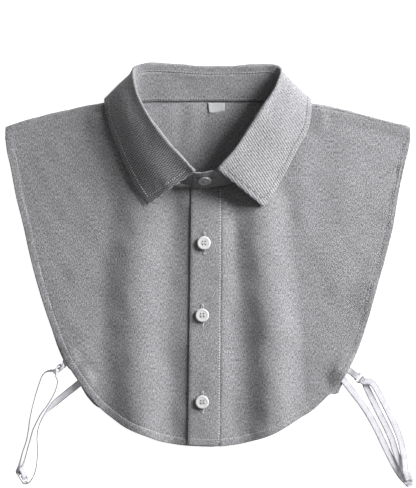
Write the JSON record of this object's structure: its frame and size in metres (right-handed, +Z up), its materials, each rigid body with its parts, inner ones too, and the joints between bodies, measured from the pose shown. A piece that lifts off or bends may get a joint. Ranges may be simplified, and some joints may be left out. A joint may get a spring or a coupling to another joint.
{
  "type": "detachable shirt collar",
  "caption": "Sleeveless false shirt front with a turned-down collar on a stand, buttoned down the front, laid flat, with an adjustable elastic strap loop at each side",
  "frame": {"origin": "middle of the bounding box in X and Y, on the table it lies on", "axes": "+Z up from the table, +Y from the hem to the collar, +X to the side with the buttonholes"},
  "size_m": [0.3468, 0.3604, 0.0324],
  "materials": {
    "cloth": "grey heathered chambray, matt",
    "tape": "white woven tape, bare",
    "elastic": "white flat elastic",
    "button": "white polished resin",
    "fitting": "white coated"
  },
  "bodies": {
    "root": {"back_panel": "cloth", "front_under": "cloth", "front_over": "cloth", "placket": "cloth", "collar_stand": "cloth", "collar_leaf": "cloth", "size_label": "tape", "button_collar": "button", "button_1": "button", "button_2": "button", "button_3": "button", "tab_left": "elastic", "tab_right": "elastic", "strap_left": "elastic", "strap_right": "elastic", "ring_left": "fitting", "ring_right": "fitting", "slider_left": "fitting", "slider_right": "fitting"}
  },
  "joints": []
}
